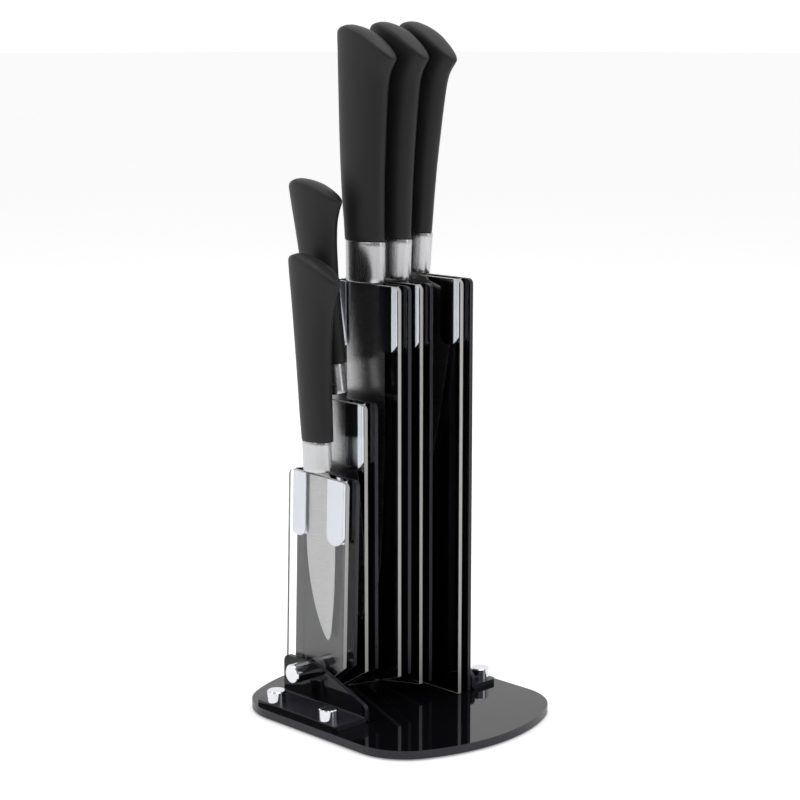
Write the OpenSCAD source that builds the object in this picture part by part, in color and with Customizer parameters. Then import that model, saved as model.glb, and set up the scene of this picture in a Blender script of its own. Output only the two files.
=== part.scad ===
// Fan-out knife block with five knives, in millimetres.
// Frame: +Z up, table at z = 0, origin under the middle of the base.
// The plates lie in XZ planes and are stacked along +Y, front to back.

/* [Base] */
// Width of the base along X
base_w = 157.1; // [150:0.1:165]
// Depth of the base along Y
base_d = 130.5; // [128:0.1:136]
// Thickness of the base sheet
base_t = 4.5; // [4:0.1:6]
// Radius of the bulging left and right ends
base_end_r = 102.5; // [98:0.5:112]
// Radius of the four corners
base_corner_r = 33; // [28:1:36]
// Height of the soft pads under the base
pad_h = 0.8; // [0.5:0.1:1.5]

/* [Holders] */
// Distance from one holder to the next along Y
pitch = 16.57; // [16.3:0.01:17]
// Thickness of each acrylic plate
plate_t = 2.4; // [2.2:0.1:2.6]
// Clear gap between the two plates of a holder
slot = 5.3; // [5:0.1:5.4]
// Reach of the two short holders, from the row's datum to their right edge
short_w = 44.5; // [43:0.5:46]
// Reach of the two middle holders
mid_w = 53.5; // [52:0.5:56]
// Reach of the rear holder
rear_w = 67.8; // [66:0.1:70]
// Height of the front holder
h_1 = 129.2; // [126:0.1:134]
// Height of the second holder
h_2 = 168.2; // [165:0.1:173]
// Height of the three tall holders
h_3 = 231.4; // [226:0.1:236]
// How far every plate reaches to the left of the row's datum
over = 2; // [1:0.1:2.5]
// Radius of the plates' top corners
plate_r = 3; // [2:0.5:4]

/* [Pivot] */
// Radius of the pivot bolt
bolt_r = 3; // [2.5:0.1:3.5]
// Radial play of the plates on the bolt
bolt_play = 0.05; // [0.03:0.01:0.1]
// Radius of the bolt's round head
head_r = 5.4; // [5:0.1:6]
// Length of the bolt's round head
head_l = 11; // [9:0.5:13]

/* [Brackets] */
// Thickness of the bent sheet
sheet_t = 2.6; // [2.2:0.1:3]
// Width of a bracket along X
brk_w = 66; // [62:1:70]
// Height of a bracket's leg
brk_h = 23.8; // [23:0.1:26]
// Depth of a bracket's foot, from the front of the leg
foot_d = 21.1; // [20:0.1:21.5]
// Radius of the cap nuts
cap_r = 5.2; // [5:0.1:5.5]
// Height of the cap nuts
cap_h = 6.4; // [6:0.1:8]

/* [Clips] */
// Thickness of the spring sheet
clip_t = 0.6; // [0.5:0.1:0.8]
// Width of a clip along X
clip_w = 12; // [11:0.5:13]
// Height of a clip
clip_h = 36.5; // [32:0.5:38]
// How far the right-hand clips stand in from the plates' right edge
clip_in = 4.5; // [3:0.1:5]

/* [Knives] */
// Thickness of the blades
blade_t = 1.8; // [1.4:0.1:2.2]
// Half thickness of the large bolsters
bol_b = 6.75; // [6.5:0.05:7]
// Height of the large bolsters
bol_h = 22.5; // [21:0.5:23]
// Height of the small bolsters
bol_hs = 17; // [16.5:0.5:18]

/* [Hidden] */

x0 = -50.7;                 // datum of the row, beside the holders' left edge
y0 = -36.85;                // front face of the first holder
zb = pad_h + base_t;        // top of the base
holder_t = 2 * plate_t + slot;
px = x0 + 18.3;             // pivot
pz = zb + 18.6;
leg_gap = 0.8;              // from a bracket's leg to the holder beside it
rear_y = y0 + 4 * pitch + holder_t;
corner_x = 14;              // where the slanted bottom edge starts
black = [0.03, 0.03, 0.035];
chrome = [0.85, 0.86, 0.88];
steel = [0.72, 0.73, 0.74];
clear = [0.9, 0.93, 0.94, 0.3];
soft = [0.06, 0.06, 0.065];

wid = [short_w, short_w, mid_w, mid_w, rear_w];
hgt = [h_1, h_2, h_3, h_3, h_3 + 2.8];
slant = [39.4, 31.3, 19.7, 8.8, 0];
lean = [-2.5, -9, 0, 2.3, 5.5];
kx = [19.4, 14.4, 22.8, 25.6, 24.0];
tilt = [1.8, 0, 0, 0, 0];    // the front holder stands swung out a little
rise = [0.5, 0.3, 0.4, 1.0, 0.4];
stretch = [1.01, 1.02, 1, 1, 0.975];

// ---------- general helpers ----------
// turns a drawing in XY into one in XZ, its thickness along +Y from y
module upright(y, t) {
  translate([0, y + t, 0]) rotate([90, 0, 0]) linear_extrude(height = t) children();
}

function arc(cx, cy, r, a, b, n) = [for (i = [0:n]) [cx + r * cos(a + (b - a) * i / n), cy + r * sin(a + (b - a) * i / n)]];

// ---------- base ----------
module base_shape() {
  cy = base_d / 2 - base_corner_r;
  dc = base_end_r - base_corner_r;
  bx = base_w / 2 - base_end_r;
  cx = bx + sqrt(dc * dc - cy * cy);
  tx = bx + (cx - bx) * base_end_r / dc;
  ty = cy * base_end_r / dc;
  union() {
    square([2 * cx, base_d], center = true);
    square([2 * tx, 2 * cy], center = true);
    for (sx = [-1, 1], sy = [-1, 1]) translate([sx * cx, sy * cy]) circle(r = base_corner_r, $fn = 96);
    for (s = [-1, 1]) intersection() {
      translate([s * bx, 0]) circle(r = base_end_r, $fn = 180);
      translate([s * (bx + base_end_r / 2), 0])
        polygon([[-s * base_end_r / 2, 0], [s * (tx - bx - base_end_r / 2), ty], [s * (base_end_r / 2 + 5), ty],
                 [s * (base_end_r / 2 + 5), -ty], [s * (tx - bx - base_end_r / 2), -ty]]);
    }
  }
}

front_x = [x0 + 11, x0 + 53.5];
rear_x = [x0 + 11, x0 + 61];
rear_w_brk = brk_w + 2.5;
rear_foot_d = foot_d - 3.3;
front_leg_y = y0 - leg_gap - sheet_t;
rear_leg_y = rear_y + leg_gap;
front_cap_y = front_leg_y - foot_d + 5.5;
rear_cap_y = rear_leg_y + sheet_t + rear_foot_d - 6.5;
spots = [[front_x[0], front_cap_y], [front_x[1], front_cap_y], [rear_x[0], rear_cap_y], [rear_x[1], rear_cap_y]];

module base_plate() {
  color(black) difference() {
    translate([0, 0, pad_h]) linear_extrude(height = base_t) base_shape();
    for (s = spots) {
      translate([s[0], s[1], 0]) cylinder(h = zb + 1, r = 2.1, $fn = 32);
      translate([s[0], s[1], pad_h - 0.01]) cylinder(h = 2.2, r1 = 4.3, r2 = 2.1, $fn = 32);
    }
  }
}

module base_pads() {
  color(soft) for (sx = [-1, 1], sy = [-1, 1])
    translate([sx * (base_w / 2 - 28), sy * (base_d / 2 - 24), 0]) cylinder(h = pad_h, r = 7, $fn = 48);
}

module screw(x, y) {
  translate([x, y, pad_h]) union() {
    cylinder(h = 2.1, r1 = 4.2, r2 = 2.0, $fn = 32);
    cylinder(h = base_t + sheet_t + 4, r = 2.0, $fn = 32);
  }
}

module base_screws() {
  color(steel) for (s = spots) screw(s[0], s[1]);
}

// ---------- brackets ----------
// the leg: flat top on the left, falling to the right
module leg_shape(w) {
  polygon(concat(
    [[x0 - 0.5, zb + 3.5], [x0 + w - 0.5, zb + 3.5]],
    arc(x0 + w - 3.7, zb + 6.6, 3.2, 0, 69, 8),
    arc(x0 + 23.5, zb + brk_h - 18, 18, 69, 90, 10),
    arc(x0 + 3.5, zb + brk_h - 4, 4, 90, 180, 12)));
}

module foot_shape(w, d) {
  r = 3;
  hull() {
    translate([x0 - 0.5, 0]) square([w, 1]);
    translate([x0 - 0.5 + r, -d + r + 2.5]) circle(r = r, $fn = 48);
    translate([x0 - 0.5 + w - r, -d + r + 2.5]) circle(r = r, $fn = 48);
  }
}

// built as the front bracket with its leg's front face at y = 0
// w wide, its foot d deep, screws at sx, sy from the foot's edge
module bracket(w, d, sx, sy) {
  difference() {
    union() {
      upright(0, sheet_t) leg_shape(w);
      // the bend from leg to foot
      translate([x0 - 0.5, 0, zb]) rotate([90, 0, 90]) linear_extrude(height = w)
        intersection() {
          difference() {
            translate([-1, sheet_t + 1]) circle(r = sheet_t + 1, $fn = 32);
            translate([-1, sheet_t + 1]) circle(r = 1, $fn = 32);
          }
          translate([-1, 0]) square([sheet_t + 1, sheet_t + 1]);
        }
      translate([x0 - 0.5, -1, zb]) translate([0, -1.5, 0]) cube([w, 1.5, sheet_t]);
      translate([0, -2.5, zb]) linear_extrude(height = sheet_t) translate([0, 0]) intersection() {
        foot_shape(w, d);
        translate([x0 - 1, -40]) square([w + 2, 40]);
      }
    }
    translate([px, -1, pz]) rotate([-90, 0, 0]) cylinder(h = sheet_t + 2, r = bolt_r + 0.1, $fn = 48);
    for (x = sx) translate([x, -d + sy, zb - 1]) cylinder(h = sheet_t + 2, r = 2.1, $fn = 32);
  }
}

module front_bracket() { color(black) translate([0, front_leg_y, 0]) bracket(brk_w, foot_d, front_x, 5.5); }
module rear_bracket() { color(black) translate([0, rear_leg_y + sheet_t, 0]) mirror([0, 1, 0]) bracket(rear_w_brk, rear_foot_d, rear_x, 6.5); }

module cap_nut(x, y) {
  translate([x, y, zb + sheet_t]) difference() {
    union() {
      cylinder(h = cap_h - 0.5, r = cap_r, $fn = 48);
      translate([0, 0, cap_h - 0.5]) cylinder(h = 0.5, r1 = cap_r, r2 = cap_r - 0.5, $fn = 48);
    }
    translate([0, 0, -1]) cylinder(h = 5.5, r = 2.1, $fn = 32);
  }
}
module front_cap_left() { color(chrome) cap_nut(front_x[0], front_cap_y); }
module front_cap_right() { color(chrome) cap_nut(front_x[1], front_cap_y); }
module rear_cap_left() { color(chrome) cap_nut(rear_x[0], rear_cap_y); }
module rear_cap_right() { color(chrome) cap_nut(rear_x[1], rear_cap_y); }

// ---------- pivot ----------
module ring(y, l, ro, ri) {
  translate([px, y, pz]) rotate([-90, 0, 0]) difference() {
    cylinder(h = l, r = ro, $fn = 48);
    translate([0, 0, -1]) cylinder(h = l + 2, r = ri, $fn = 48);
  }
}

bolt_end = rear_leg_y + sheet_t + 6;

module pivot_bolt() {
  color(chrome) translate([px, front_leg_y, pz]) rotate([-90, 0, 0]) union() {
    translate([0, 0, -head_l]) cylinder(h = 0.6, r1 = head_r - 0.6, r2 = head_r, $fn = 48);
    translate([0, 0, -head_l + 0.6]) cylinder(h = head_l - 0.6, r = head_r, $fn = 48);
    cylinder(h = bolt_end - front_leg_y, r = bolt_r, $fn = 48);
  }
}

module pivot_nut() {
  color(chrome) translate([px, rear_leg_y + sheet_t, pz]) rotate([-90, 0, 0]) difference() {
    union() {
      cylinder(h = 8.4, r = head_r, $fn = 48);
      translate([0, 0, 8.4]) cylinder(h = 0.6, r1 = head_r, r2 = head_r - 0.6, $fn = 48);
    }
    translate([0, 0, -1]) cylinder(h = 8, r = bolt_r + 0.05, $fn = 48);
  }
}

module pivot_washers() {
  color(chrome) {
    ring(front_leg_y + sheet_t, leg_gap - 0.1, 5, bolt_r + 0.05);
    ring(rear_y, leg_gap, 5, bolt_r + 0.05);
  }
}

module pivot_spacers() {
  color(soft) for (i = [0:3]) ring(y0 + i * pitch + holder_t + 0.1, pitch - holder_t - 0.2, 5, bolt_r + 0.05);
}

// ---------- holders ----------
module plate_shape(i) {
  w = wid[i]; h = hgt[i]; r = plate_r; z0 = 0.3; l = -over;
  zr = z0 + tan(slant[i]) * (w - corner_x);
  translate([x0, zb]) difference() {
    union() {
      polygon([[l, z0 + r], [l + r, z0], [corner_x, z0], [w, max(zr, z0)], [w, h - r], [w - r, h], [l + r, h], [l, h - r]]);
      translate([l + r, z0 + r]) circle(r = r, $fn = 48);
      translate([l + r, h - r]) circle(r = r, $fn = 48);
      translate([w - r, h - r]) circle(r = r, $fn = 48);
    }
    translate([px - x0, pz - zb]) circle(r = bolt_r + bolt_play, $fn = 48);
  }
}

function hy(i) = y0 + i * pitch;

// turns a holder about the pivot to the angle it stands at
module swung(i) { translate([px, 0, pz]) rotate([0, tilt[i], 0]) translate([-px, 0, -pz]) children(); }

module front_plate(i) { color(clear) swung(i) upright(hy(i), plate_t) plate_shape(i); }
module back_plate(i) { color(black) swung(i) upright(hy(i) + plate_t + slot, plate_t) plate_shape(i); }
module bush(i) { color(clear) ring(hy(i) + plate_t, slot, 5.2, bolt_r + bolt_play); }

// one folded clip in plan, its bend at the left, standing in the gap
module clip(i, right) {
  ro = slot / 2 - 0.1;
  w = wid[i];
  top = zb + hgt[i] - 0.2;
  ym = hy(i) + plate_t + slot / 2;
  xb = right ? x0 + w - clip_in : x0 - over + 0.5;
  s = right ? -1 : 1;
  translate([xb, ym, top - clip_h]) scale([s, 1, 1]) intersection() {
    linear_extrude(height = clip_h) union() {
      intersection() {
        difference() {
          translate([ro, 0]) circle(r = ro, $fn = 32);
          translate([ro, 0]) circle(r = ro - clip_t, $fn = 32);
        }
        translate([-1, -ro - 1]) square([ro + 1, 2 * ro + 2]);
      }
      translate([ro, -ro]) square([clip_w - ro, clip_t]);
      translate([ro, ro - clip_t]) square([clip_w - ro, clip_t]);
    }
    // tongue outline seen from the front
    translate([0, ro + 1, 0]) rotate([90, 0, 0]) linear_extrude(height = slot + 2) union() {
      translate([0, 5]) square([clip_w, clip_h - 5]);
      translate([5, 0]) square([clip_w - 10, 6]);
      translate([5, 5]) circle(r = 5, $fn = 32);
      translate([clip_w - 5, 5]) circle(r = 5, $fn = 32);
    }
  }
}
module clips(i) { color(chrome) swung(i) { clip(i, false); clip(i, true); } }

// ---------- knives ----------
// oval of four arcs, half length a, half thickness b, end radius e
module oval(a, b, e) {
  c = a - e;
  rr = (c * c + b * b - e * e) / (2 * (b - e));
  xt = c * rr / (rr - e);
  union() {
    intersection() {
      translate([0, b - rr]) circle(r = rr, $fn = 120);
      translate([0, rr - b]) circle(r = rr, $fn = 120);
      square([2 * xt, 2 * b + 2], center = true);
    }
    translate([c, 0]) circle(r = e, $fn = 32);
    translate([-c, 0]) circle(r = e, $fn = 32);
  }
}

// sections of the handles: height, slope along x, left, right, half thickness
big_rings = [
  [22.5, 0, -14.4, 13.1, 6.85], [27, 0, -14.9, 13.1, 6.95], [40, 0, -16.1, 13.2, 7.1], [60, -0.01, -17.6, 13.5, 7.3],
  [80, -0.04, -18.4, 14.6, 7.4], [95, -0.09, -19.0, 16.0, 7.4], [107, -0.17, -19.5, 18.0, 7.3], [115, -0.25, -19.9, 20.5, 7.2],
  [121, -0.32, -20.3, 22.6, 7.1], [125.5, -0.37, -20.6, 23.5, 6.95], [129, -0.385, -20.4, 23.5, 6.6],
  [131.4, -0.375, -19.4, 22.4, 5.9], [133.1, -0.36, -17, 19.4, 4.8], [134.2, -0.355, -12.5, 14, 3.2], [134.7, -0.35, -6, 7, 1.5]];
small_rings = [
  [17.0, 0, -10.0, 11.8, 6.05], [24, 0, -10.5, 11.8, 6.2], [36, 0, -11.0, 11.9, 6.4], [55, -0.02, -11.9, 12.3, 6.6],
  [72, -0.07, -13.0, 13.4, 6.7], [84, -0.15, -14.1, 15.6, 6.7], [93, -0.24, -15.1, 18.4, 6.6], [99.5, -0.32, -15.9, 21.0, 6.5],
  [104.5, -0.37, -16.5, 22.8, 6.4], [108, -0.385, -16.8, 23.5, 6.2], [110.8, -0.38, -16.4, 23.2, 5.8],
  [112.6, -0.37, -15.2, 21.6, 5.0], [113.6, -0.36, -12.6, 18, 3.8], [114.0, -0.355, -8.5, 12, 2.3], [114.2, -0.35, -4, 6, 1.1]];

// z is the height it starts at, k how far its length is stretched
module handle(rings, z, k) {
  n = 32; m = len(rings);
  function pt(s, j) = let (t = 360 * j / n, x = (s[2] + s[3]) / 2 + (s[3] - s[2]) / 2 * cos(t)) [x, s[4] * sin(t), z + (s[0] - rings[0][0]) * k + s[1] * x];
  pts = [for (s = rings) for (j = [0:n - 1]) pt(s, j)];
  polyhedron(points = pts, faces = concat(
    [[for (j = [0:n - 1]) j]],
    [for (i = [0:m - 2]) for (j = [0:n - 1]) [i * n + j, (i + 1) * n + j, (i + 1) * n + (j + 1) % n]],
    [for (i = [0:m - 2]) for (j = [0:n - 1]) [i * n + j, (i + 1) * n + (j + 1) % n, i * n + (j + 1) % n]],
    [[for (j = [n - 1:-1:0]) (m - 1) * n + j]]), convexity = 4);
}

// blade outlines: spine on the left, cutting edge on the right, tip down
paring = [[-8.6, 0], [-8.9, -20], [-8.9, -45], [-8.5, -52], [-7.6, -60], [-6.2, -68], [-4.2, -76], [-1.3, -84], [2.3, -91], [4.9, -94.2],
  [6.9, -91.5], [9.0, -81.5], [10.4, -73], [11.5, -64], [12.4, -55], [13.1, -46], [13.5, -37], [13.6, -14], [13.2, -8], [11.2, -3.5], [8.6, 0]];
utility = [[-8.6, 0], [-9.2, -20], [-9.4, -62], [-9.0, -78], [-7.8, -90], [-5.6, -102], [-2.2, -113], [1.6, -121.5], [4.2, -125],
  [6.8, -120], [9.2, -108], [11.2, -94], [12.6, -78], [13.5, -60], [13.9, -40], [14.0, -14], [13.5, -8], [11.4, -3.5], [8.6, 0]];
slicer = [[-13, 0], [-13.2, -30], [-13.2, -140], [-12.4, -160], [-10.4, -176], [-7, -189], [-2.6, -198], [0.4, -200],
  [4.4, -193], [8.4, -180], [11.6, -162], [14, -138], [15.4, -105], [16, -70], [16.1, -14], [15.6, -7], [14.6, -3], [13, 0]];
bread_l = [[-13, 0], [-13.2, -30], [-13.2, -165], [-12.4, -180], [-10, -191], [-6, -198], [-2, -200], [4, -199], [10, -195.5], [14.5, -190], [17, -183]];
bread_r = [[17, -14], [16.4, -7], [15, -3], [13, 0]];
chef = [[-9.4, 0], [-9.4, -30], [-9.2, -90], [-8.4, -130], [-6.8, -165], [-3.6, -190], [-0.6, -200], [1.6, -198.5], [8, -187], [14, -171], [19.4, -151],
  [24, -128], [28.2, -104], [31.6, -80], [34, -56], [35.4, -34], [35.9, -16], [35.9, -9], [33.5, -6.5], [24, -4.5], [16, -3], [13, 0]];

module tang(l) { translate([-5, -1]) square([10, l + 1]); }

module serrations() {
  translate([0, 0]) for (k = [0:20]) translate([18.6, -22 - 7.6 * k]) circle(r = 4.1, $fn = 48);
}

module blade_shape(i) {
  union() {
    if (i == 0) polygon(paring);
    if (i == 1) polygon(utility);
    if (i == 2) polygon(slicer);
    if (i == 3) difference() { polygon(concat(bread_l, bread_r)); serrations(); }
    if (i == 4) polygon(chef);
    tang(i < 2 ? 13 : 17);
  }
}

// puts a knife drawn on its own axis into holder i
module in_holder(i) {
  half = i < 2 ? 9.6 : 14;
  translate([x0 + kx[i], hy(i) + holder_t / 2, zb + hgt[i] + rise[i] + (half + 0.5) * abs(sin(lean[i]))])
    rotate([0, lean[i], 0]) children();
}

module blade(i) { color(steel) in_holder(i) upright(-blade_t / 2, blade_t) blade_shape(i); }

module bolster(i) {
  h = i < 2 ? bol_hs : bol_h;
  color(steel) in_holder(i) difference() {
    union() {
      translate([0, 0, 0]) linear_extrude(height = h) if (i < 2) oval(9.6, 6.0, 4.2); else oval(13.9, bol_b, 4.6);
    }
    translate([-5.05, -blade_t / 2 - 0.05, -1]) cube([10.1, blade_t + 0.1, (i < 2 ? 13 : 17) + 1.1]);
  }
}

module knife_handle(i) { color(soft) in_holder(i) handle(i < 2 ? small_rings : big_rings, i < 2 ? bol_hs : bol_h, stretch[i]); }

module h1_front_plate() { front_plate(0); }
module h1_back_plate() { back_plate(0); }
module h1_clips() { clips(0); }
module h1_bush() { bush(0); }
module h2_front_plate() { front_plate(1); }
module h2_back_plate() { back_plate(1); }
module h2_clips() { clips(1); }
module h2_bush() { bush(1); }
module h3_front_plate() { front_plate(2); }
module h3_back_plate() { back_plate(2); }
module h3_clips() { clips(2); }
module h3_bush() { bush(2); }
module h4_front_plate() { front_plate(3); }
module h4_back_plate() { back_plate(3); }
module h4_clips() { clips(3); }
module h4_bush() { bush(3); }
module h5_front_plate() { front_plate(4); }
module h5_back_plate() { back_plate(4); }
module h5_clips() { clips(4); }
module h5_bush() { bush(4); }
module k1_handle() { knife_handle(0); }
module k1_bolster() { bolster(0); }
module k1_blade() { blade(0); }
module k2_handle() { knife_handle(1); }
module k2_bolster() { bolster(1); }
module k2_blade() { blade(1); }
module k3_handle() { knife_handle(2); }
module k3_bolster() { bolster(2); }
module k3_blade() { blade(2); }
module k4_handle() { knife_handle(3); }
module k4_bolster() { bolster(3); }
module k4_blade() { blade(3); }
module k5_handle() { knife_handle(4); }
module k5_bolster() { bolster(4); }
module k5_blade() { blade(4); }

base_plate();
base_pads();
front_bracket();
rear_bracket();
front_cap_left();
front_cap_right();
rear_cap_left();
rear_cap_right();
base_screws();
pivot_bolt();
pivot_nut();
pivot_washers();
pivot_spacers();
h1_front_plate();
h1_back_plate();
h1_clips();
h1_bush();
h2_front_plate();
h2_back_plate();
h2_clips();
h2_bush();
h3_front_plate();
h3_back_plate();
h3_clips();
h3_bush();
h4_front_plate();
h4_back_plate();
h4_clips();
h4_bush();
h5_front_plate();
h5_back_plate();
h5_clips();
h5_bush();
k1_handle();
k1_bolster();
k1_blade();
k2_handle();
k2_bolster();
k2_blade();
k3_handle();
k3_bolster();
k3_blade();
k4_handle();
k4_bolster();
k4_blade();
k5_handle();
k5_bolster();
k5_blade();
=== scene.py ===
import math

import bpy
from mathutils import Matrix, Vector


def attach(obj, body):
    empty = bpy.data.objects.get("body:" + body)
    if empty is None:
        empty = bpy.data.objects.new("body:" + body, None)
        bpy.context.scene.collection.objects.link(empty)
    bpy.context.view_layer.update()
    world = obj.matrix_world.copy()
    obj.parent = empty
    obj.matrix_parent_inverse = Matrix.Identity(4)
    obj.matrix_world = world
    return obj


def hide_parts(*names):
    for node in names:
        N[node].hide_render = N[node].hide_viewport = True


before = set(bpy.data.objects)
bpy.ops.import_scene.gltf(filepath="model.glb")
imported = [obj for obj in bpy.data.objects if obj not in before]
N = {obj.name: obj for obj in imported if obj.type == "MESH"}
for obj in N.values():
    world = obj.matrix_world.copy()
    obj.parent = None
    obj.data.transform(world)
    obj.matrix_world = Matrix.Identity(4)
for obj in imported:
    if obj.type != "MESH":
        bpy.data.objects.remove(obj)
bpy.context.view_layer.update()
MM = 0.001

# ---------------------------------------------------------------- sizes, mm, as in the CAD
X0, Y0, PITCH = -50.7, -36.85, 16.57
PLATE_T, SLOT = 2.4, 5.3
HOLDER_T = 2 * PLATE_T + SLOT
ZB = 5.3
HGT = [129.2, 168.2, 231.4, 231.4, 234.2]
LEAN = [-2.5, -9.0, 0.0, 2.3, 5.5]
KX = [19.4, 14.4, 22.8, 25.6, 24.0]
RISE = [0.5, 0.3, 0.4, 1.0, 0.4]
STRETCH = [1.01, 1.02, 1.0, 1.0, 0.975]
BLADE_T = 1.8


def lerp(table, v):
    if v <= table[0][0]:
        return table[0][1]
    for (a, p), (b, q) in zip(table, table[1:]):
        if v <= b:
            return p + (q - p) * (v - a) / (b - a)
    return table[-1][1]


def smooth(table, v):
    """Monotone cubic through the points of a table."""
    n = len(table)
    if v <= table[0][0]:
        return table[0][1]
    if v >= table[-1][0]:
        return table[-1][1]
    k = max(i for i in range(n - 1) if table[i][0] <= v)
    d = [(table[i + 1][1] - table[i][1]) / (table[i + 1][0] - table[i][0]) for i in range(n - 1)]

    def tan(i):
        if i == 0:
            return d[0]
        if i == n - 1:
            return d[-1]
        if d[i - 1] * d[i] <= 0:
            return 0.0
        h0, h1 = table[i][0] - table[i - 1][0], table[i + 1][0] - table[i][0]
        w1, w2 = 2 * h1 + h0, h1 + 2 * h0
        return (w1 + w2) / (w1 / d[i - 1] + w2 / d[i])

    h = table[k + 1][0] - table[k][0]
    t = (v - table[k][0]) / h
    m0, m1 = tan(k) * h, tan(k + 1) * h
    p0, p1 = table[k][1], table[k + 1][1]
    return ((2 * t**3 - 3 * t**2 + 1) * p0 + (t**3 - 2 * t**2 + t) * m0
            + (-2 * t**3 + 3 * t**2) * p1 + (t**3 - t**2) * m1)


def knife_matrix(i):
    half = 9.6 if i < 2 else 14.0
    z = ZB + HGT[i] + RISE[i] + (half + 0.5) * abs(math.sin(math.radians(LEAN[i])))
    return (Matrix.Translation(Vector((X0 + KX[i], Y0 + i * PITCH + HOLDER_T / 2, z)))
            @ Matrix.Rotation(math.radians(LEAN[i]), 4, "Y"))


def make(name, verts, faces, mat, place=None, flat=False, sharp=None):
    """A mesh piece from points in millimetres."""
    me = bpy.data.meshes.new(name)
    pts = [Vector(v) for v in verts]
    if place is not None:
        pts = [place @ p for p in pts]
    me.from_pydata([p * MM for p in pts], [], faces)
    me.validate()
    me.update()
    if not flat:
        me.polygons.foreach_set("use_smooth", [True] * len(me.polygons))
        if sharp:
            me.set_sharp_from_angle(angle=math.radians(sharp))
    o = bpy.data.objects.new(name, me)
    bpy.context.scene.collection.objects.link(o)
    me.materials.append(mat)
    return o


def loft(rings, cap0=True, cap1=True):
    """Rings of equal length, anticlockwise seen from the end they climb towards."""
    n = len(rings[0])
    verts = [p for r in rings for p in r]
    faces = []
    for i in range(len(rings) - 1):
        for j in range(n):
            a, b = i * n + j, i * n + (j + 1) % n
            faces.append((a, b, b + n, a + n))
    if cap0:
        faces.append(tuple(reversed(range(n))))
    if cap1:
        faces.append(tuple(range((len(rings) - 1) * n, len(rings) * n)))
    return verts, faces


# ---------------------------------------------------------------- materials
def material(name):
    m = bpy.data.materials.new(name)
    m.use_nodes = True
    nt = m.node_tree
    nt.nodes.clear()
    out = nt.nodes.new("ShaderNodeOutputMaterial")
    sh = nt.nodes.new("ShaderNodeBsdfPrincipled")
    nt.links.new(sh.outputs["BSDF"], out.inputs["Surface"])
    return m, nt, sh, out


def coords(nt, scale=(1, 1, 1)):
    tc = nt.nodes.new("ShaderNodeTexCoord")
    mp = nt.nodes.new("ShaderNodeMapping")
    mp.inputs["Scale"].default_value = scale
    nt.links.new(tc.outputs["Object"], mp.inputs["Vector"])
    return mp.outputs["Vector"]


def noise(nt, vec, scale, detail=4.0, rough=0.55):
    t = nt.nodes.new("ShaderNodeTexNoise")
    t.inputs["Scale"].default_value = scale
    t.inputs["Detail"].default_value = detail
    t.inputs["Roughness"].default_value = rough
    nt.links.new(vec, t.inputs["Vector"])
    return t.outputs["Fac"]


def span(nt, fac, lo, hi, a=0.3, b=0.7):
    r = nt.nodes.new("ShaderNodeMapRange")
    r.inputs["From Min"].default_value = a
    r.inputs["From Max"].default_value = b
    r.inputs["To Min"].default_value = lo
    r.inputs["To Max"].default_value = hi
    nt.links.new(fac, r.inputs["Value"])
    return r.outputs["Result"]


def blend_colour(nt, fac, a, b):
    m = nt.nodes.new("ShaderNodeMix")
    m.data_type = "RGBA"
    m.inputs["A"].default_value = (*a, 1)
    m.inputs["B"].default_value = (*b, 1)
    nt.links.new(fac, m.inputs["Factor"])
    return m.outputs["Result"]


def bump(nt, sh, height, strength, distance):
    b = nt.nodes.new("ShaderNodeBump")
    b.inputs["Strength"].default_value = strength
    b.inputs["Distance"].default_value = distance
    nt.links.new(height, b.inputs["Height"])
    nt.links.new(b.outputs["Normal"], sh.inputs["Normal"])


def face_mask(nt, axis, lo=0.6, hi=0.8):
    """1 on faces that look along one axis of the object, 0 on its cut edges."""
    g = nt.nodes.new("ShaderNodeNewGeometry")
    s = nt.nodes.new("ShaderNodeSeparateXYZ")
    ab = nt.nodes.new("ShaderNodeMath")
    ab.operation = "ABSOLUTE"
    nt.links.new(g.outputs["True Normal"], s.inputs["Vector"])
    nt.links.new(s.outputs[axis], ab.inputs[0])
    return span(nt, ab.outputs[0], 0.0, 1.0, lo, hi)


def soft_touch():
    m, nt, sh, _ = material("soft_touch_black")
    v = coords(nt)
    big = noise(nt, v, 55.0, 3.0)
    fine = noise(nt, v, 5200.0, 2.0, 0.6)
    nt.links.new(blend_colour(nt, big, (0.0085, 0.0085, 0.0094), (0.0120, 0.0120, 0.0130)), sh.inputs["Base Color"])
    nt.links.new(span(nt, big, 0.44, 0.53), sh.inputs["Roughness"])
    sh.inputs["Specular IOR Level"].default_value = 0.28
    sh.inputs["Sheen Weight"].default_value = 0.03
    sh.inputs["Sheen Roughness"].default_value = 0.5
    bump(nt, sh, fine, 0.22, 0.00006)
    return m


def black_acrylic(name, axis, level):
    m, nt, sh, _ = material(name)
    v = coords(nt)
    dust = noise(nt, v, 900.0, 3.0)
    haze = noise(nt, v, 28.0, 3.0)
    wave = noise(nt, v, 16.0, 1.0)
    mask = face_mask(nt, axis)
    mix = nt.nodes.new("ShaderNodeMix")
    mix.data_type = "FLOAT"
    nt.links.new(mask, mix.inputs["Factor"])
    nt.links.new(span(nt, dust, 0.26, 0.36), mix.inputs["A"])
    nt.links.new(span(nt, haze, 0.025, 0.06), mix.inputs["B"])
    nt.links.new(mix.outputs["Result"], sh.inputs["Roughness"])
    nt.links.new(blend_colour(nt, mask, (0.020, 0.020, 0.027), (0.0035, 0.0035, 0.0045)), sh.inputs["Base Color"])
    sh.inputs["IOR"].default_value = 1.49
    sh.inputs["Specular IOR Level"].default_value = level
    bump(nt, sh, wave, 0.05, 0.0002)
    return m


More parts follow.
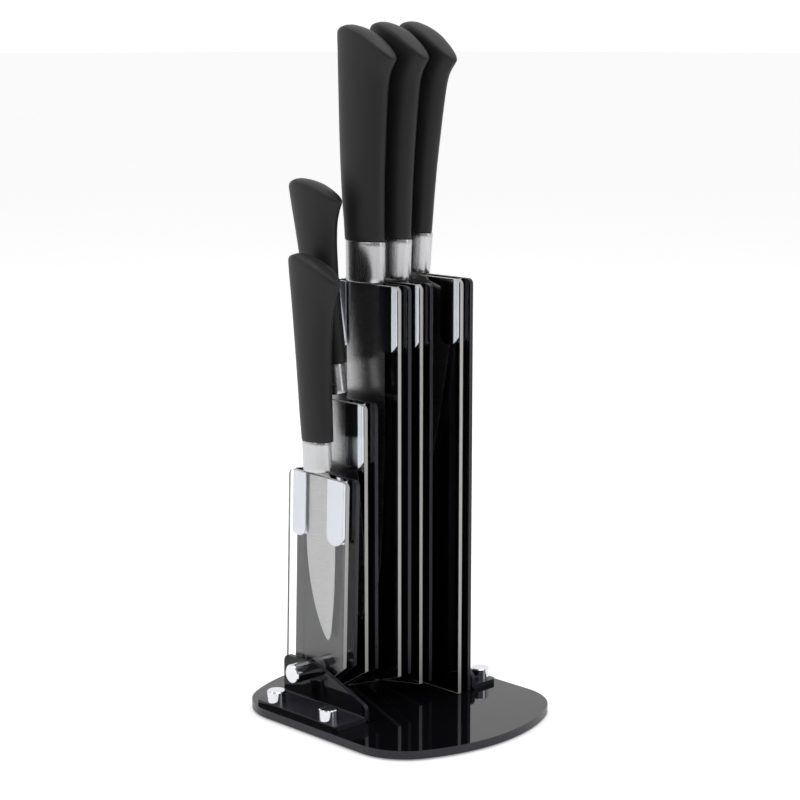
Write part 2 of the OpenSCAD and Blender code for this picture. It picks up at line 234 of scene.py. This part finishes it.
def clear_acrylic():
    m, nt, sh, out = material("clear_acrylic")
    v = coords(nt)
    haze = noise(nt, v, 35.0, 3.0)
    saw = noise(nt, coords(nt, (1, 1, 6)), 420.0, 3.0)
    nt.links.new(span(nt, haze, 0.0, 0.02), sh.inputs["Roughness"])
    sh.inputs["Base Color"].default_value = (0.985, 0.99, 0.99, 1)
    sh.inputs["Transmission Weight"].default_value = 1.0
    sh.inputs["IOR"].default_value = 1.47
    edge = nt.nodes.new("ShaderNodeBsdfPrincipled")
    nt.links.new(blend_colour(nt, saw, (0.46, 0.455, 0.43), (0.58, 0.57, 0.545)), edge.inputs["Base Color"])
    nt.links.new(span(nt, saw, 0.28, 0.45), edge.inputs["Roughness"])
    edge.inputs["Transmission Weight"].default_value = 0.25
    edge.inputs["IOR"].default_value = 1.47
    mix = nt.nodes.new("ShaderNodeMixShader")
    nt.links.new(face_mask(nt, "Y"), mix.inputs["Fac"])
    nt.links.new(edge.outputs["BSDF"], mix.inputs[1])
    nt.links.new(sh.outputs["BSDF"], mix.inputs[2])
    nt.links.new(mix.outputs["Shader"], out.inputs["Surface"])
    return m


def metal(name, colour, lo, hi, stretch, scale, strength, distance=0.00003, big=40.0):
    m, nt, sh, _ = material(name)
    grain = noise(nt, coords(nt, stretch), scale, 4.0, 0.6)
    smudge = noise(nt, coords(nt), big, 3.0)
    dark = tuple(c * 0.93 for c in colour)
    nt.links.new(blend_colour(nt, smudge, dark, colour), sh.inputs["Base Color"])
    sh.inputs["Metallic"].default_value = 1.0
    nt.links.new(span(nt, grain, lo, hi), sh.inputs["Roughness"])
    bump(nt, sh, grain, strength, distance)
    return m


def plain(name, a, b, r0, r1, scale, strength=0.15, distance=0.00005):
    m, nt, sh, _ = material(name)
    g = noise(nt, coords(nt), scale, 3.0)
    nt.links.new(blend_colour(nt, g, a, b), sh.inputs["Base Color"])
    nt.links.new(span(nt, g, r0, r1), sh.inputs["Roughness"])
    bump(nt, sh, g, strength, distance)
    return m


M_HANDLE = soft_touch()
M_PLATE = black_acrylic("black_acrylic_plate", "Y", 0.26)
M_BASE = black_acrylic("black_acrylic_base", "Z", 0.30)
M_CLEAR = clear_acrylic()
M_CHROME = metal("polished_chrome", (0.74, 0.75, 0.78), 0.03, 0.08, (1, 1, 1), 120.0, 0.02)
M_CLIP = metal("spring_clip_chrome", (0.60, 0.62, 0.67), 0.05, 0.12, (1, 1, 0.12), 300.0, 0.02)
M_BOLSTER = metal("brushed_bolster", (0.56, 0.56, 0.565), 0.25, 0.29, (1, 1, 0.01), 1500.0, 0.012, 0.00001)
M_BLADE = metal("ground_blade", (0.44, 0.435, 0.44), 0.26, 0.33, (0.02, 1, 1), 2600.0, 0.035)
M_SCREW = metal("screw_steel", (0.6, 0.6, 0.62), 0.25, 0.4, (1, 1, 1), 900.0, 0.1)
M_PAD = plain("pad_rubber", (0.02, 0.02, 0.02), (0.03, 0.03, 0.03), 0.7, 0.85, 1500.0, 0.3)
M_SPACER = plain("spacer_nylon", (0.012, 0.012, 0.013), (0.02, 0.02, 0.021), 0.35, 0.45, 1200.0)


def dress(node, mat):
    o = N[node]
    o.data.materials.clear()
    o.data.materials.append(mat)


for node in N:
    if node.startswith("h") and node.endswith("front_plate"):
        dress(node, M_CLEAR)
    elif node.startswith("h") and node.endswith("_bush"):
        dress(node, M_CLEAR)
    elif node.startswith("h") and node.endswith("back_plate"):
        dress(node, M_PLATE)
    elif node.endswith("_clips"):
        dress(node, M_CLIP)
dress("base_plate", M_BASE)
dress("front_bracket", M_PLATE)
dress("rear_bracket", M_PLATE)
dress("base_pads", M_PAD)
dress("base_screws", M_SCREW)
dress("pivot_spacers", M_SPACER)
for node in ("front_cap_left", "front_cap_right", "rear_cap_left", "rear_cap_right",
             "pivot_bolt", "pivot_nut", "pivot_washers"):
    dress(node, M_CHROME)

# ---------------------------------------------------------------- handles
BIG = dict(
    z0=22.5, f0=134.3, blend=70.0,
    L=[(22.5, 14.4), (33, 15.2), (44, 16.4), (60, 17.5), (76, 18.3), (93, 18.9), (109, 19.4), (125, 20.0), (133.5, 20.4), (136, 20.2)],
    R=[(22.5, 13.1), (40, 13.15), (56, 13.4), (78, 14.5), (94, 15.7), (101, 16.4), (107, 17.4), (111.5, 18.9), (115, 20.6), (118, 22.1), (120.5, 23.2), (122.5, 23.6), (126, 23.4)],
    B=[(22.5, 6.85), (40, 7.1), (60, 7.3), (80, 7.4), (110, 7.3), (125, 7.1), (134, 6.95)],
    F=[(-21.5, 134.2), (-18, 136.6), (-12, 137.4), (-6.3, 136.3), (3, 133.2), (12.2, 128.2), (19.5, 123.6), (24, 120.4)])
SMALL = dict(
    z0=17.0, f0=114.5, blend=58.0,
    L=[(17, 10.0), (28, 10.7), (50, 11.6), (72, 12.9), (94, 14.5), (105, 15.6), (114.8, 16.3), (117, 16.2)],
    R=[(17, 11.8), (36, 11.9), (52, 12.2), (74, 14.0), (84, 15.7), (90, 17.4), (95, 19.6), (98.6, 21.4), (101, 22.7), (104, 23.5), (108, 23.3)],
    B=[(17, 6.05), (36, 6.4), (60, 6.6), (90, 6.6), (108, 6.4), (114, 6.2)],
    F=[(-17.2, 114.2), (-13.9, 116.6), (-9, 117.0), (-4.2, 115.9), (6.1, 112.4), (14, 108.4), (20, 104.9), (24, 102.2)])


def ring_at(s, t, shrink=1.0, k=1.0, n=72):
    w = max(0.0, min(1.0, (t - s["blend"]) / (s["f0"] - s["blend"]))) ** 1.5

    def z(x):
        return t + w * (smooth(s["F"], x) - s["f0"])
    xl = -smooth(s["L"], z(-19 if s is BIG else -15))
    xr = smooth(s["R"], z(22))
    b = smooth(s["B"], t)
    mid, hw = (xl + xr) / 2, (xr - xl) / 2
    pts = []
    for j in range(n):
        a = 2 * math.pi * j / n
        c, d = math.cos(a), math.sin(a)
        # a little fuller than an ellipse
        e = 0.94
        x = mid + shrink * hw * math.copysign(abs(c) ** e, c)
        y = shrink * b * math.copysign(abs(d) ** e, d)
        pts.append((x, y, s["z0"] + (z(x) - s["z0"]) * k))
    return pts


def handle(i):
    s = SMALL if i < 2 else BIG
    z0, f0 = s["z0"], s["f0"]
    k = STRETCH[i]
    rings = [ring_at(s, z0 + 0.05, 0.965, k), ring_at(s, z0 + 0.15, 0.985, k), ring_at(s, z0 + 0.5, 1.0, k)]
    steps = 46
    for j in range(1, steps + 1):
        rings.append(ring_at(s, z0 + 0.5 + (f0 - 2.7 - z0) * j / steps, 1.0, k))
    # rounded rim, then the crowned butt face
    for dz, sc in ((-1.75, 0.998), (-1.3, 0.99), (-0.9, 0.976), (-0.55, 0.957), (-0.25, 0.932), (0.0, 0.90), (0.25, 0.855), (0.55, 0.78), (0.9, 0.67), (1.2, 0.54), (1.45, 0.40), (1.62, 0.25), (1.7, 0.08)):
        rings.append(ring_at(s, f0 + dz, sc, k))
    v, f = loft(rings)
    return make(f"knife_{i + 1}_handle", v, f, M_HANDLE, knife_matrix(i))


def oval(a, b, n=72, shrink=0.0):
    pts = []
    for j in range(n):
        t = 2 * math.pi * j / n
        c, d = math.cos(t), math.sin(t)
        e = 0.90
        pts.append(((a - shrink) * math.copysign(abs(c) ** e, c), (b - shrink) * math.copysign(abs(d) ** e, d)))
    return pts


def bolster(i):
    a, b, h = (9.6, 6.0, 17.0) if i < 2 else (13.9, 6.75, 22.5)
    rows = [(0.0, 0.7), (0.1, 0.4), (0.3, 0.15), (0.7, 0.0)]
    k = 10
    rows += [(0.7 + (h - 1.2) * j / k, 0.0) for j in range(1, k + 1)]
    rows += [(h - 0.25, 0.12), (h - 0.08, 0.3), (h, 0.6)]
    rings = []
    for z, s in rows:
        # very slight waist in the middle
        w = 0.12 * math.sin(math.pi * z / h)
        rings.append([(x, y, z) for x, y in oval(a, b, shrink=s + w)])
    v, f = loft(rings)
    return make(f"knife_{i + 1}_bolster", v, f, M_BOLSTER, knife_matrix(i), sharp=50)


# ---------------------------------------------------------------- blades
PARING_L = [(-94.2, 4.9), (-91, 2.3), (-84, -1.3), (-76, -4.2), (-68, -6.2), (-60, -7.6), (-52, -8.5), (-45, -8.9), (-20, -8.9), (0, -8.6)]
PARING_R = [(-94.2, 4.9), (-91.5, 6.9), (-81.5, 9.0), (-73, 10.4), (-64, 11.5), (-55, 12.4), (-46, 13.1), (-37, 13.5), (-14, 13.6), (-8, 13.2), (-3.5, 11.2), (0, 8.6)]
UTIL_L = [(-125, 4.2), (-121.5, 1.6), (-113, -2.2), (-102, -5.6), (-90, -7.8), (-78, -9.0), (-62, -9.4), (-20, -9.2), (0, -8.6)]
UTIL_R = [(-125, 4.2), (-120, 6.8), (-108, 9.2), (-94, 11.2), (-78, 12.6), (-60, 13.5), (-40, 13.9), (-14, 14.0), (-8, 13.5), (-3.5, 11.4), (0, 8.6)]
SLICE_L = [(-200, 0.4), (-198, -2.6), (-189, -7), (-176, -10.4), (-160, -12.4), (-140, -13.2), (-30, -13.2), (0, -13)]
SLICE_R = [(-200, 0.4), (-193, 4.4), (-180, 8.4), (-162, 11.6), (-138, 14), (-105, 15.4), (-70, 16), (-14, 16.1), (-7, 15.6), (-3, 14.6), (0, 13)]
BREAD_L = [(-200, -2), (-198, -6), (-191, -10), (-180, -12.4), (-165, -13.2), (-30, -13.2), (0, -13)]
BREAD_R = [(-200, -2), (-199, 4), (-195.5, 10), (-190, 14.5), (-183, 17), (-14, 17), (-7, 16.4), (-3, 15), (0, 13)]
CHEF_L = [(-200, -0.6), (-190, -3.6), (-165, -6.8), (-130, -8.4), (-90, -9.2), (-30, -9.4), (0, -9.4)]
CHEF_R = [(-200, -0.6), (-198.5, 1.6), (-187, 8), (-171, 14), (-151, 19.4), (-128, 24), (-104, 28.2), (-80, 31.6), (-56, 34), (-34, 35.4), (-16, 35.9), (-9, 35.9), (-6.5, 33.5), (-4.5, 24), (-3, 16), (0, 13)]
BLADES = [(PARING_L, PARING_R, 6.0), (UTIL_L, UTIL_R, 7.0), (SLICE_L, SLICE_R, 9.0), (BREAD_L, BREAD_R, 5.0), (CHEF_L, CHEF_R, 14.0)]


def serration(z):
    """Depth of the scallops of the bread knife's edge at height z."""
    best = 0.0
    for k in range(21):
        d = z - (-22 - 7.6 * k)
        if abs(d) < 4.1:
            best = max(best, 17.0 - (18.6 - math.sqrt(4.1**2 - d * d)))
    return best


def blade(i):
    left, right, grind = BLADES[i]
    length = -left[0][0]
    fine = 0.5 if i == 3 else 1.0
    n = int(length / fine)
    zs = sorted({-length + 0.15, -length + 0.4, -length + 0.8, *[-length + length * k / n for k in range(1, n)], -0.05})
    t = BLADE_T / 2
    rings = []
    for z in zs:
        xl, xr = smooth(left, z), smooth(right, z)
        if i == 3:
            xr -= max(0.0, serration(z))
        w = max(xr - xl, 0.05)
        g = min(grind, 0.55 * w)
        taper = min(1.0, 0.45 + 0.55 * (z + length) / (0.5 * length))
        s = t * taper
        e = min(0.12, s * 0.5)
        c = min(0.25, 0.1 * w)
        rings.append([(xr, e, z), (xr - g * 0.15, e + (s - e) * 0.22, z), (xr - g, s, z), (xl + c + (w - g - c) * 0.5, s, z), (xl + c, s, z), (xl, s - 0.2 * s, z),
                      (xl, -s + 0.2 * s, z), (xl + c, -s, z), (xl + c + (w - g - c) * 0.5, -s, z), (xr - g, -s, z), (xr - g * 0.15, -e - (s - e) * 0.22, z), (xr, -e, z)])
    v, f = loft(rings)
    return make(f"knife_{i + 1}_blade", v, f, M_BLADE, knife_matrix(i), sharp=20)


for i in range(5):
    for maker, part, slot in ((handle, "handle", "handle_soft"), (bolster, "bolster", "brushed_steel"), (blade, "blade", "blade_steel")):
        o = maker(i)
        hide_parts(f"k{i + 1}_{part}")
        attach(o, f"knife_{i + 1}")

# ---------------------------------------------------------------- stage
fm, fnt, fsh, _ = material("stage_floor")
fn = noise(fnt, coords(fnt), 3.0, 2.0)
fnt.links.new(blend_colour(fnt, fn, (0.93, 0.93, 0.93), (0.95, 0.95, 0.95)), fsh.inputs["Base Color"])
fsh.inputs["Roughness"].default_value = 0.9
fsh.inputs["Specular IOR Level"].default_value = 0.1
fsh.inputs["Emission Color"].default_value = (1, 1, 1, 1)
fsh.inputs["Emission Strength"].default_value = 0.30
s = 60.0
me = bpy.data.meshes.new("stage_floor")
me.from_pydata([(-s, -s, 0), (s, -s, 0), (s, s, 0), (-s, s, 0)], [], [(0, 1, 2, 3)])
floor = bpy.data.objects.new("stage_floor", me)
me.materials.append(fm)
bpy.context.scene.collection.objects.link(floor)

world = bpy.data.worlds.new("studio")
bpy.context.scene.world = world
world.use_nodes = True
wn = world.node_tree
bg = wn.nodes["Background"]
tc = wn.nodes.new("ShaderNodeTexCoord")
# white towards the backdrop, falling to soft grey on the other side of the room
turn = wn.nodes.new("ShaderNodeVectorMath")
turn.operation = "DOT_PRODUCT"
turn.inputs[1].default_value = (-0.70, 0.70, 0.10)
wn.links.new(tc.outputs["Generated"], turn.inputs[0])
mr = wn.nodes.new("ShaderNodeMapRange")
mr.interpolation_type = "SMOOTHSTEP"
mr.inputs["From Min"].default_value = -0.55
mr.inputs["From Max"].default_value = 0.55
wn.links.new(turn.outputs["Value"], mr.inputs["Value"])
rmp = wn.nodes.new("ShaderNodeValToRGB")
wn.links.new(mr.outputs["Result"], rmp.inputs["Fac"])
rmp.color_ramp.elements[0].position = 0.0
rmp.color_ramp.elements[0].color = (0.22, 0.22, 0.235, 1)
rmp.color_ramp.elements[1].position = 1.0
rmp.color_ramp.elements[1].color = (1, 1, 1, 1)
wn.links.new(rmp.outputs["Color"], bg.inputs["Color"])
bg.inputs["Strength"].default_value = 1.05


def area(name, loc, target, size, power, colour=(1, 1, 1)):
    ld = bpy.data.lights.new(name, "AREA")
    ld.shape = "RECTANGLE"
    ld.size, ld.size_y = size
    ld.energy = power
    ld.color = colour
    o = bpy.data.objects.new(name, ld)
    bpy.context.scene.collection.objects.link(o)
    o.location = loc
    o.rotation_mode = "QUATERNION"
    o.rotation_quaternion = (Vector(target) - Vector(loc)).to_track_quat("-Z", "Y")
    return o


area("key", (-0.5, -1.3, 1.3), (0, 0, 0.15), (0.9, 0.9), 5.0)
area("side", (1.5, 0.3, 0.9), (0, 0, 0.15), (0.7, 1.2), 4.5)
area("top", (0.1, 0.2, 1.6), (0, 0, 0), (1.2, 1.2), 7.0)

cam_data = bpy.data.cameras.new("camera")
cam_data.sensor_width = 36.0
cam_data.lens = 36.0 * 1977.33 / 800.0
cam = bpy.data.objects.new("camera", cam_data)
bpy.context.scene.collection.objects.link(cam)
cam.location = (0.75686, -0.73626, 0.36591)
cam.rotation_euler = (math.radians(90 - 10.25), 0, math.radians(45.77))
cam_data.clip_start, cam_data.clip_end = 0.05, 200.0
bpy.context.scene.camera = cam
bpy.context.scene.view_settings.view_transform = "Standard"
